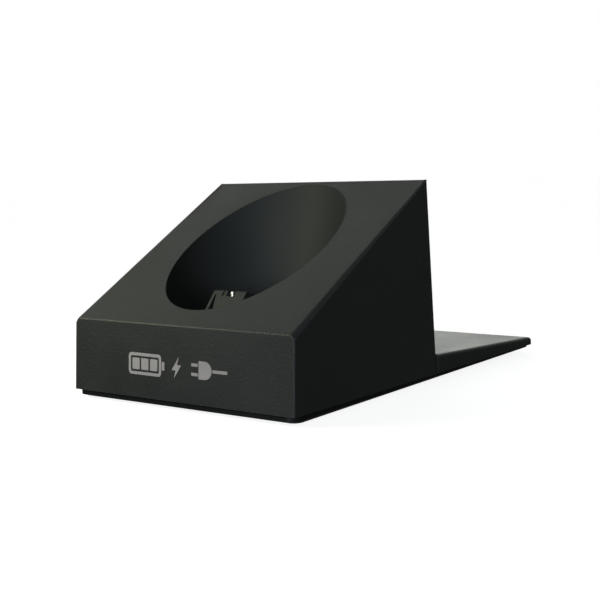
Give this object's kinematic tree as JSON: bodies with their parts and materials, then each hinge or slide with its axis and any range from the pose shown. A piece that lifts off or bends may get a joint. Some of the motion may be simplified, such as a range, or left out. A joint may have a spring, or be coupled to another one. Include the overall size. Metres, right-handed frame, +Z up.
{
  "type": "body groomer charging stand",
  "caption": "Wedge-shaped charging stand for a cordless body groomer, with a leaning elliptical well, sprung charging contacts inside it and a low plate behind.",
  "frame": {"origin": "on the surface that the rubber feet stand on, in the middle of the outline seen from above", "axes": "+Z up, +Y from the low front face towards the tail plate, +X to the right seen from the front"},
  "size_m": [0.08, 0.137, 0.0606],
  "materials": {
    "case_plastic": "fine spark-eroded matte, dark warm grey",
    "pan_plastic": "matte black",
    "insulator": "smooth matte dark grey",
    "jack_plastic": "satin black",
    "nickel_plate": "nickel plated, satin",
    "spring_steel": "drawn wire",
    "zinc_steel": "zinc plated",
    "foot_rubber": "soft matte black",
    "blank_label": "plain silver-grey film with nothing printed",
    "board_laminate": "green solder resist",
    "capacitor_sleeve": "shrunk sleeve",
    "chip_epoxy": "moulded epoxy",
    "connector_nylon": "natural nylon",
    "red_insulation": "PVC insulation",
    "black_insulation": "PVC insulation"
  },
  "bodies": {
    "stand": {"upper_housing": "case_plastic", "tail_cover": "case_plastic", "base_pan": "pan_plastic", "contact_tower": "insulator", "contact_spring_centre": "spring_steel", "contact_spring_left": "spring_steel", "circuit_board": "board_laminate", "smoothing_capacitor": "capacitor_sleeve", "regulator_chip": "chip_epoxy", "rectifier_diode": "chip_epoxy", "lead_connector": "connector_nylon", "inlet_jack": "jack_plastic", "inlet_pin": "nickel_plate", "inlet_tab_positive": "nickel_plate", "inlet_tab_negative": "nickel_plate", "lead_red": "red_insulation", "lead_black": "black_insulation", "ballast_plate": "zinc_steel", "housing_screw_front_left": "zinc_steel", "housing_screw_front_right": "zinc_steel", "housing_screw_rear_left": "zinc_steel", "housing_screw_rear_right": "zinc_steel", "tail_screw_left": "zinc_steel", "tail_screw_right": "zinc_steel", "board_screw_left": "zinc_steel", "board_screw_right": "zinc_steel", "rubber_foot_front_left": "foot_rubber", "rubber_foot_front_right": "foot_rubber", "rubber_foot_rear_left": "foot_rubber", "rubber_foot_rear_right": "foot_rubber", "rating_plate": "blank_label"},
    "centre_contact": {"contact_blade_centre": "nickel_plate"},
    "left_contact": {"contact_blade_left": "nickel_plate"}
  },
  "joints": [
    {"name": "centre_contact_slide", "type": "slide", "parent": "stand", "child": "centre_contact", "axis": [0, -0.2588, -0.9659], "range_m": [0, 0.0015], "stiffness_N_per_m": 200, "springref_m": -0.001, "deforming": ["contact_spring_centre"]},
    {"name": "left_contact_slide", "type": "slide", "parent": "stand", "child": "left_contact", "axis": [0, -0.2588, -0.9659], "range_m": [0, 0.0015], "stiffness_N_per_m": 200, "springref_m": -0.001, "deforming": ["contact_spring_left"]}
  ]
}
